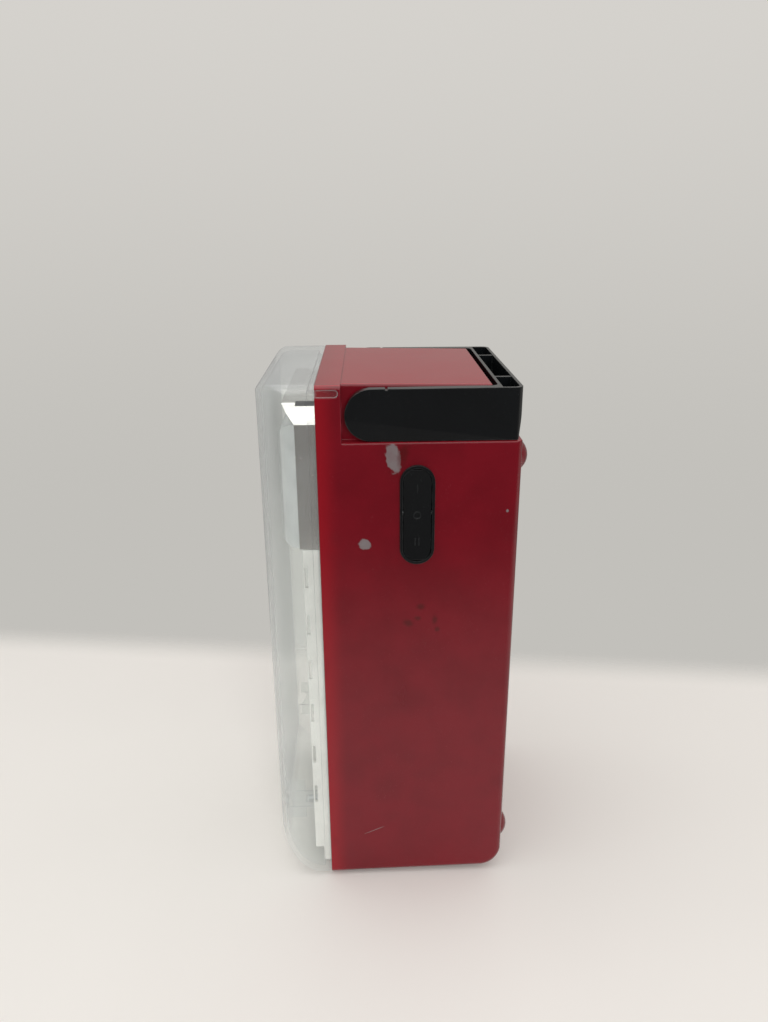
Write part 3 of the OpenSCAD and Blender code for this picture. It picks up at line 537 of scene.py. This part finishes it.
@dataclass(frozen=True)
class Clear:
    """A thin clear moulded plastic with a light haze and scuffs.

    It is milky along its outline and clearest where it faces front. Its latches, behind the seam, lie on
    the shell and show its colour inside a pale outline. The three clear values are the shares of haze
    that are missing at the front, on top and on the latches. Sizes are in millimetres.
    """

    name: str
    colour: Colour = tint("FEFFFE")
    thick: Colour = tint("C8CBD0")
    milk: Colour = tint("FAFDFF")
    rough: float = 0.05
    flow: float = 0.03
    flow_size: float = 9
    flow_stretch: Triple = (1, 1, 4)
    cloud_size: float = 15
    scuffs: float = 0.05
    strokes: Strokes = Strokes(12, 0.14, (20, 0, 15))
    haze: float = 0.08
    rim_haze: float = 0.55
    mirror: float = 0.025
    rim_mirror: float = 0.6
    scuffed: float = 0.12
    front_clear: float = 0.7
    top_clear: float = 0.65
    held_clear: float = 0.85
    outline: float = 0.28
    outline_w: float = 0.7

    def make(self) -> bpy.types.Material:
        """Mixes the clear plastic.

        Returns:
            Its material.
        """
        paint = Paint(self.name)
        flow = paint.noise(self.flow_size, 2, 0.4, paint.place(self.flow_stretch))
        cloud = paint.noise(self.cloud_size, 3)
        scuff = paint.scratches(self.strokes, self.scuffs)
        rim = paint.grazing()
        rough = self.rough + 0.08 * cloud.step(0.5, 0.8) + 0.2 * scuff
        normal = paint.bump(flow + 0.1 * scuff, self.flow)
        across = paint.node("ShaderNodeBsdfTransparent", None, {"Color": self.colour})
        along = paint.node("ShaderNodeBsdfTransparent", None, {"Color": self.thick})
        through = paint.node("ShaderNodeMixShader", None, {0: rim**6.0, 1: across, 2: along})
        milk = paint.surface(Base_Color=self.milk, Roughness=0.4, Normal=normal)
        _, y, _ = paint.split(paint.place())
        free = 1 - self.held_clear * y.step(SEAM_Y, SEAM_Y + 1)
        front = abs(paint.facing(FRONT)).step(0.7, 0.95)
        haze = (self.haze * (0.5 + cloud) + self.scuffed * scuff) * (1 - self.front_clear * front)
        haze = haze * free + self.rim_haze * rim**2.5 * (1 - self.top_clear * abs(paint.facing(UP)))
        haze = haze + self.outline * (1 - free) * paint.edges(self.outline_w)
        body = paint.node("ShaderNodeMixShader", None, {0: haze.least(1), 1: through, 2: milk})
        shine = paint.surface(Base_Color=(1, 1, 1), Metallic=1.0, Roughness=rough, Normal=normal)
        mirror = self.mirror * free + self.rim_mirror * rim**5.0
        return paint.done(paint.node("ShaderNodeMixShader", None, {0: mirror, 1: body, 2: shine}))


@dataclass(frozen=True)
class Metal:
    """A bare or plated metal, brushed along X and stained a little. Sizes are in millimetres."""

    name: str
    colour: Colour
    dull: Colour
    rough: float = 0.25
    brush: float = 0.1
    wave: float = 0.01
    round: float = 0.15
    cloud_size: float = 7
    stain_size: float = 3
    streak: Triple = (4, 0.25, 0.25)

    def make(self) -> bpy.types.Material:
        """Mixes the metal.

        Returns:
            Its material.
        """
        paint = Paint(self.name)
        cloud = paint.noise(self.cloud_size, 4)
        streak = paint.noise(1, 2, 0.6, paint.place(self.streak))
        stain = paint.noise(self.stain_size, 4, 0.65).step(0.55, 0.75)
        colour = paint.mix(self.colour, self.dull, (0.5 * stain + 0.3 * cloud).least(1))
        rough = self.rough + self.brush * (streak - 0.5) + 0.3 * self.rough * stain
        normal = paint.bump(streak * 0.4 + cloud, self.wave, paint.rounded(self.round))
        return paint.done(
            paint.surface(Base_Color=colour, Metallic=1.0, Roughness=rough, Normal=normal)
        )


@dataclass(frozen=True)
class Board:
    """A coated circuit board with copper tracks under the mask. Sizes are in millimetres."""

    name: str
    mask: Colour
    track: Colour
    pitch: float = 4.0
    rough: float = 0.32
    weave_size: float = 0.4

    def make(self) -> bpy.types.Material:
        """Mixes the board.

        Returns:
            Its material.
        """
        paint = Paint(self.name)
        cells = paint.node(
            "ShaderNodeTexVoronoi",
            {"feature": "DISTANCE_TO_EDGE"},
            {"Vector": paint.place(), "Scale": 1 / self.pitch, "Randomness": 0.55},
        )
        track = cells.step(0.16, 0.1)
        weave = paint.noise(self.weave_size, 1)
        colour = paint.mix(self.mask, self.track, 0.75 * track)
        colour = paint.mix(colour, darker(self.mask, 0.7), 0.4 * weave)
        rough = self.rough + 0.1 * (weave - 0.5) + 0.08 * paint.noise(6, 3)
        normal = paint.bump(track + 0.15 * weave, 0.03, paint.rounded(0.12))
        return paint.done(paint.surface(Base_Color=colour, Roughness=rough, Normal=normal))


@dataclass(frozen=True)
class Epoxy:
    """The milky epoxy of a white diode, yellow round its chip."""

    name: str
    colour: Colour
    core: Colour
    cloud_size: float = 1.2

    def make(self) -> bpy.types.Material:
        """Mixes the epoxy.

        Returns:
            Its material.
        """
        paint = Paint(self.name)
        cloud = paint.noise(self.cloud_size, 3)
        colour = paint.mix(self.colour, self.core, cloud.step(0.45, 0.7) * 0.6)
        rough = 0.06 + 0.12 * paint.noise(0.6, 2)
        normal = paint.bump(cloud, 0.01, paint.rounded(0.2))
        return paint.done(
            paint.surface(
                Base_Color=colour, Roughness=rough, IOR=1.5, Coat_Weight=0.6, Coat_Roughness=0.04,
                Normal=normal,
            )
        )


@dataclass(frozen=True)
class Foam:
    """A closed-cell foam, with cells of a size in millimetres."""

    name: str
    colour: Colour
    cell: float = 0.7

    def make(self) -> bpy.types.Material:
        """Mixes the foam.

        Returns:
            Its material.
        """
        paint = Paint(self.name)
        cells = paint.node(
            "ShaderNodeTexVoronoi", {"feature": "F1"}, {"Vector": paint.place(), "Scale": 1 / self.cell}
        )
        # Painted shade: the pits of the cells are drawn darker than the cell walls.
        colour = paint.mix(darker(self.colour, 0.6), self.colour, cells.step(0.0, 0.6))
        normal = paint.bump(cells.step(0.0, 0.5), 0.12)
        return paint.done(
            paint.surface(Base_Color=colour, Roughness=0.75 + 0.2 * paint.noise(3), Normal=normal)
        )


class Finishes:
    """Every finish of the lantern, by its name."""

    def __init__(self) -> None:
        """Mixes them all."""
        finishes = [
            RedShell(
                "red_abs", tint("72101D"), tint("C8606C"), rough=0.16, grain=0.004, scuffs=0.05, round=0.45,
                edge_wear=0.3, dust=0.05, index=1.42,
                chips=(
                    Chip(-0.2, 203.0, 2.8, 5.9, 12),
                    Chip(-11.6, 167.6, 2.3, 2.2, -25),
                    Chip(44.5, 180.8, 0.5, 0.6, 0),
                    Chip(-9.3, 25.7, 5.4, 0.13, 24),
                ),
                smears=(
                    Chip(3.6, 204.6, 1.7, 4.3, -10),
                    Chip(10.9, 139.7, 1.6, 1.2, 0),
                    Chip(9.5, 134.4, 1.2, 0.9, 0),
                    Chip(5.6, 132.3, 1.9, 1.3, -20),
                    Chip(16.7, 133.4, 0.9, 1.8, 0),
                    Chip(17.7, 129.1, 1.0, 1.0, 0),
                ),
            ),
            Moulded("white_abs", tint("F4F4F0"), tint("FAFAF8"), rough=0.32, dust=0.03),
            Moulded(
                "black_abs", tint("121416"), tint("5E6261"), rough=0.22, grain=0.006, grain_size=0.5,
                scuffs=0.04, round=0.35, edge_wear=0.5, dust=0.04, index=1.46,
            ),
            Moulded(
                "black_switch", tint("111315"), tint("4A4E50"), rough=0.2, grain=0.003, scuffs=0.04,
                round=0.25, edge_wear=0.5, dust=0.04, index=1.46,
            ),
            Moulded("battery_case", tint("33363A"), tint("585C60"), rough=0.45, grain=0.02, dust=0.08),
            Moulded("film_red", tint("9E2A20"), tint("C25A4A"), rough=0.28, dust=0.03),
            Moulded("sleeve_blue", tint("1F2E5E"), tint("4A5A8A"), rough=0.3, dust=0.03),
            Moulded("epoxy_black", tint("1A1B1D"), tint("4B4D50"), rough=0.5, grain=0.02, dust=0.05),
            Moulded("lead_red", tint("B3201E"), tint("D2605A"), rough=0.38, dust=0.04),
            Moulded("lead_black", tint("1B1B1D"), tint("47484A"), rough=0.38, dust=0.05),
            Moulded("lead_white", tint("E4E2DA"), tint("F4F4F0"), rough=0.38, dust=0.05),
            Moulded("lead_orange", tint("D2691E"), tint("E69A5E"), rough=0.38, dust=0.04),
            Moulded("lead_brown", tint("5B3A24"), tint("8A6A52"), rough=0.38, dust=0.04),
            Moulded("indicator", tint("3C8F46"), tint("6BBF76"), rough=0.12, grain=0.003, dust=0.02),
            Clear("clear_pc"),
            Clear("clear_cover", haze=0.42, front_clear=0.88),
            Metal("chrome", tint("EDECEA"), tint("C4B2A8"), rough=0.22, brush=0.03, wave=0.003),
            Metal("steel", tint("B9BBBD"), tint("8C8E90"), rough=0.3),
            Metal("brass", tint("C9A85A"), tint("94763A"), rough=0.3),
            Metal("aluminium", tint("C6C8CA"), tint("A2A4A6"), rough=0.38),
            Board("pcb_green", tint("1E5A34"), tint("2F7A48"), 4.5),
            Board("pcb_white", tint("E2E4DF"), tint("D2D6D0"), 6.0),
            Epoxy("led_epoxy", tint("EDEDE4"), tint("E3D48A")),
            Foam("foam", tint("4A4E55")),
        ]
        self.by_name = {finish.name: finish.make() for finish in finishes}

    def dress(self, node: str, finish: str) -> None:
        """Gives a CAD node a finish.

        Args:
            node: The node.
            finish: The finish's name.
        """
        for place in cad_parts[node].material_slots:
            place.material = self.by_name[finish]
        log.info("dressed %s in %s", node, finish)


@dataclass
class Assembly:
    """A sub-assembly of the lantern. Its kinds name the finish of each of their CAD nodes."""

    finishes: Finishes
    finish_of: ClassVar[dict[str, str]] = {}

    def build(self) -> None:
        """Dresses the CAD nodes."""
        for node, finish in self.finish_of.items():
            self.finishes.dress(node, finish)

    def add(self, name: str, mesh: bpy.types.Mesh, finish: str, body: Body) -> bpy.types.Object:
        """Turns a mesh into a piece that rides on a body.

        Args:
            name: The piece's name.
            mesh: Its mesh, in metres and in its finish.
            finish: The finish's name; not used.
            body: The body it rides on.

        Returns:
            The piece.
        """
        piece = bpy.data.objects.new(name, mesh)
        bpy.context.scene.collection.objects.link(piece)
        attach(piece, body.value)
        log.info("made %s on %s", name, body.value)
        return piece


@dataclass
class Shell(Assembly):
    """The red shell, shown by a copy of its mesh without the thin fins at its rear bottom corners.

    The corner is the middle of the fillet there, in millimetres. A point within the band about it that
    lies further out than the fillet's radius and the margin is laid down on the fillet.
    """

    finish_of = {"housing": "red_abs", "case_screws": "steel"}
    corner: Place = (45.416, 39.65, 5.084)
    radius: float = 3.0
    margin: float = 0.06
    band: float = 0.1

    def build(self) -> None:
        """Dresses the shell and lays the fins of its fillets down on them."""
        super().build()
        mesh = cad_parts["housing"].data.copy()
        laid = 0
        for vertex in mesh.vertices:
            x, y, z = (c / MM for c in vertex.co)
            across, up = abs(x) - self.corner[0], z - self.corner[2]
            reach = math.hypot(across, up)
            in_corner = across >= 0 and up <= 0 and abs(y - self.corner[1]) <= self.band
            if not in_corner or reach < self.radius + self.margin:
                continue
            share = self.radius / reach
            vertex.co.x = math.copysign(self.corner[0] + across * share, x) * MM
            vertex.co.z = (self.corner[2] + up * share) * MM
            laid += 1
        shell = self.add("housing_shell", mesh, "red_abs", Body.LANTERN)
        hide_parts("housing")
        log.info("laid down %d points of its fins", laid)


@dataclass
class FrontLens(Assembly):
    """The clear tub over the whole front."""

    finish_of = {"lens": "clear_pc"}


@dataclass
class LampPanel(Assembly):
    """The white tray with its board and its rows of diodes."""

    finish_of = {
        "led_tray": "white_abs",
        "led_board": "pcb_white",
        "panel_leds": "led_epoxy",
        "panel_screws": "steel",
    }


@dataclass
class SpotLamp(Assembly):
    """The chromed frame with the spot lamp's bowl, cover, diode and heat sink."""

    finish_of = {
        "reflector_frame": "chrome",
        "spot_reflector": "chrome",
        "spot_lens": "clear_cover",
        "spot_led": "led_epoxy",
        "spot_heatsink": "aluminium",
    }


@dataclass
class CarryHandle(Assembly):
    """The black handle."""

    finish_of = {"handle": "black_abs"}


@dataclass
class PowerSwitch(Assembly):
    """The three-position switch, with the moulded marks of its rocker: a bar, a ring and two bars.

    Sizes are in millimetres. A mark stands proud of the rocker's face and is sunk in it.
    """

    finish_of = {
        "switch_bezel": "black_switch",
        "switch_rocker": "black_switch",
        "switch_pin": "steel",
        "switch_body": "black_abs",
        "switch_terminals": "brass",
    }
    proud: float = 0.1
    sunk: float = 0.1
    ring_r: float = 1.6
    ring_sides: int = 32
    line_w: float = 0.45
    bar_h: float = 3.0
    bar_gap: float = 1.5
    mark_up: float = 11.0
    outside_x: float = 80.0

    def surface_x(self, tree: BVHTree, y: float, z: float) -> float:
        """Finds the rocker's face.

        Args:
            tree: The rocker's mesh.
            y: Place across the rocker, in metres.
            z: Place along the rocker, in metres.

        Returns:
            X of its face there, in metres.
        """
        hit = tree.ray_cast(Vector((self.outside_x * MM, y, z)), -Vector(RIGHT))[0]
        return hit.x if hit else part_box("switch_rocker")[1].x

    def ribbon(
        self, shape: bmesh.types.BMesh, tree: BVHTree, inner: list[Vector], outer: list[Vector], loop: bool
    ) -> None:
        """Lays a raised ribbon on the rocker's face.

        Args:
            shape: The mesh it is added to.
            tree: The rocker's mesh.
            inner: Points (Y, Z) of one edge, in millimetres.
            outer: Points of the other edge, as many.
            loop: True if the ribbon closes on itself.
        """
        rows = []
        for one, two in zip(inner, outer):
            row = []
            for point, lift in ((one, -self.sunk), (one, self.proud), (two, self.proud), (two, -self.sunk)):
                y, z = point[0] * MM, point[1] * MM
                row.append(shape.verts.new((self.surface_x(tree, y, z) + lift * MM, y, z)))
            rows.append(row)
        count = len(rows)
        for i in range(count if loop else count - 1):
            here, there = rows[i], rows[(i + 1) % count]
            for k in range(4):
                shape.faces.new((here[k], here[(k + 1) % 4], there[(k + 1) % 4], there[k]))
        if not loop:
            shape.faces.new(rows[0][::-1])
            shape.faces.new(rows[-1])

    def build(self) -> None:
        """Dresses the switch and adds the marks."""
        super().build()
        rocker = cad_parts["switch_rocker"]
        tree = BVHTree.FromPolygons(
            [v.co.copy() for v in rocker.data.vertices], [tuple(p.vertices) for p in rocker.data.polygons]
        )
        low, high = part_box("switch_rocker")
        y, z = (low.y + high.y) / 2 / MM, (low.z + high.z) / 2 / MM
        shape = bmesh.new()
        turns = [math.tau * i / self.ring_sides for i in range(self.ring_sides)]
        edges = [
            [Vector((y + r * math.sin(t), z + r * math.cos(t))) for t in turns]
            for r in (self.ring_r - self.line_w, self.ring_r)
        ]
        self.ribbon(shape, tree, edges[0], edges[1], True)
        bars = [(0.0, self.mark_up), (-self.bar_gap / 2, -self.mark_up), (self.bar_gap / 2, -self.mark_up)]
        for across, up in bars:
            heights = [z + up - self.bar_h / 2, z + up, z + up + self.bar_h / 2]
            left = [Vector((y + across - self.line_w / 2, h)) for h in heights]
            right = [Vector((y + across + self.line_w / 2, h)) for h in heights]
            self.ribbon(shape, tree, left, right, False)
        bmesh.ops.recalc_face_normals(shape, faces=shape.faces[:])
        mesh = bpy.data.meshes.new("switch_marks")
        shape.to_mesh(mesh)
        shape.free()
        mesh.materials.append(self.finishes.by_name["black_switch"])
        self.add("switch_marks", mesh, "black_switch", Body.ROCKER)


@dataclass
class MainsInlet(Assembly):
    """The two-pin inlet and the charge lamps under it."""

    finish_of = {"inlet_body": "black_switch", "inlet_pins": "steel", "charge_leds": "indicator"}


@dataclass
class BatteryPack(Assembly):
    """The lead-acid battery with its tabs, clamp and pad."""

    finish_of = {
        "battery": "battery_case",
        "battery_terminals": "brass",
        "battery_clamp": "steel",
        "battery_pad": "foam",
    }


@dataclass
class ChargerBoard(Assembly):
    """The charger and driver board with its components."""

    finish_of = {
        "main_board": "pcb_green",
        "film_capacitor": "film_red",
        "electrolytic_capacitors": "sleeve_blue",
        "rectifier_diodes": "epoxy_black",
        "driver_transistor": "epoxy_black",
        "board_screws": "steel",
    }


@dataclass
class Wiring(Assembly):
    """The leads between the boards and the parts that they serve."""

    finish_of = {
        "battery_lead_red": "lead_red",
        "battery_lead_black": "lead_black",
        "panel_leads": "lead_white",
        "spot_leads": "lead_red",
        "switch_leads": "lead_orange",
        "inlet_leads": "lead_brown",
    }


@dataclass(frozen=True)
class Lamp:
    """A soft square lamp: its place and side in metres, its power in watts, and if gloss mirrors it."""

    name: str
    at: Place
    side: float
    power: float
    mirrored: bool = True


@dataclass
class Studio:
    """The pale floor, the soft lamps and the camera.

    Lengths are in metres, but for the size of the floor's mottle in millimetres. Angles are in degrees.
    A pair gives where a fade starts and ends: along X on the floor, and upwards or towards the camera in
    the sky.
    """

    camera_at: Place = (0.3386, -0.00955, 0.2906)
    yaw: float = 1.12
    pitch: float = 20.61
    roll: float = -0.41
    lens: float = 28.0
    nearest: float = 0.01
    furthest: float = 20.0
    lamps: tuple[Lamp, ...] = (
        Lamp("overhead", (0.15, -0.6, 1.5), 1.2, 3.2),
        Lamp("window", (0.95, 0.1, 0.45), 0.4, 5.0, mirrored=False),
    )
    lamps_face: Place = (0, 0, 0.1)
    half: float = 2.5
    back_x: Pair = (-0.125, -0.165)
    near_x: Pair = (0.09, 0.47)
    slant: float = 0.124
    floor_colour: Colour = tint("EFEBE7")
    mottle: float = 0.25
    mottle_size: float = 160
    back_low: Colour = tint("C2C0BB")
    back_high: Colour = tint("D6D3CE")
    back_up: Pair = (-0.35, 0.3)
    veil: float = 0.35
    room: Colour = tint("5C5854")
    room_near: Pair = (-0.2, 0.45)
    ceiling: Colour = tint("F8F7F4")
    softbox: Colour = (1.9, 1.9, 1.87)
    ceiling_up: Pair = (0.3, 0.85)

    def floor(self) -> None:
        """Lays a floor that fades into the backdrop behind the lantern and ends near the camera."""
        mesh = bpy.data.meshes.new("floor")
        corners = [(x * self.half, y * self.half, 0) for x, y in ((-1, -1), (1, -1), (1, 1), (-1, 1))]
        mesh.from_pydata(corners, [], [(0, 1, 2, 3)])
        paint = Paint("floor")
        x, y, _ = paint.split(paint.node("ShaderNodeTexCoord", outlet="Object"))
        fade = (x - self.slant * y).step(*self.back_x).most(x.step(*self.near_x))
        mottled = self.mottle * paint.noise(self.mottle_size, 3)
        colour = paint.mix(self.floor_colour, self.back_high, mottled)
        plain = paint.surface(Base_Color=colour, Roughness=0.85)
        clear = paint.node("ShaderNodeBsdfTransparent")
        painted_top_light_and_floor_fade = paint.node("ShaderNodeMixShader", None, {0: fade, 1: plain, 2: clear})
        mesh.materials.append(paint.done(painted_top_light_and_floor_fade))
        floor = bpy.data.objects.new("floor", mesh)
        bpy.context.scene.collection.objects.link(floor)

    def sky(self) -> None:
        """Gives the world a pale backdrop, a bright ceiling and a dim room about the camera."""
        world = bpy.data.worlds.new("studio")
        bpy.context.scene.world = world
        paint = Paint("studio", world)
        x, _, z = paint.split(paint.node("ShaderNodeTexCoord", outlet="Generated"))
        back = paint.mix(self.back_low, self.back_high, z.step(*self.back_up))
        veiled = paint.mix(back, (0, 0, 0), self.veil)
        around = paint.mix(veiled, self.room, x.step(*self.room_near))
        mirrored = paint.node("ShaderNodeLightPath", outlet="Is Glossy Ray")
        above = paint.mix(self.ceiling, self.softbox, mirrored)
        around = paint.mix(around, above, z.step(*self.ceiling_up))
        seen = paint.node("ShaderNodeLightPath", outlet="Is Camera Ray")
        seen = seen.most(paint.node("ShaderNodeLightPath", outlet="Is Transmission Ray"))
        paint.done(paint.node("ShaderNodeBackground", None, {"Color": paint.mix(around, back, seen)}))

    def hang(self, lamp: Lamp) -> None:
        """Hangs a lamp that faces the lantern.

        Args:
            lamp: The lamp.
        """
        data = bpy.data.lights.new(lamp.name, "AREA")
        data.size = lamp.side
        data.energy = lamp.power
        light = bpy.data.objects.new(lamp.name, data)
        light.location = lamp.at
        light.rotation_mode = "QUATERNION"
        light.rotation_quaternion = (Vector(self.lamps_face) - Vector(lamp.at)).to_track_quat("-Z", "Y")
        light.visible_glossy = lamp.mirrored
        bpy.context.scene.collection.objects.link(light)

    def camera(self) -> None:
        """Stands the camera where the lantern is looked at from."""
        pitch, yaw, roll = (math.radians(a) for a in (self.pitch, self.yaw, self.roll))
        ahead = Vector((-math.cos(pitch) * math.cos(yaw), math.cos(pitch) * math.sin(yaw), -math.sin(pitch)))
        right = ahead.cross(Vector(UP)).normalized()
        up = right.cross(ahead)
        across = math.cos(roll) * right + math.sin(roll) * up
        above = math.cos(roll) * up - math.sin(roll) * right
        data = bpy.data.cameras.new("camera")
        data.lens = self.lens
        data.clip_start = self.nearest
        data.clip_end = self.furthest
        camera = bpy.data.objects.new("camera", data)
        turned = Matrix((across, above, -ahead)).transposed().to_4x4()
        camera.matrix_world = Matrix.Translation(self.camera_at) @ turned
        bpy.context.scene.collection.objects.link(camera)
        bpy.context.scene.camera = camera

    def build(self) -> None:
        """Builds the studio."""
        self.floor()
        self.sky()
        for lamp in self.lamps:
            self.hang(lamp)
        self.camera()
        bpy.context.scene.view_settings.view_transform = "Standard"
        log.info("made the studio")


def main() -> None:
    """Builds the studio and the lantern's looks."""
    logging.basicConfig(level=logging.INFO, format="%(message)s")
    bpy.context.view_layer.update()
    Studio().build()
    finishes = Finishes()
    for kind in (
        Shell, FrontLens, LampPanel, SpotLamp, CarryHandle, PowerSwitch, MainsInlet, BatteryPack,
        ChargerBoard, Wiring,
    ):
        kind(finishes).build()


if __name__ == "__main__":
    main()
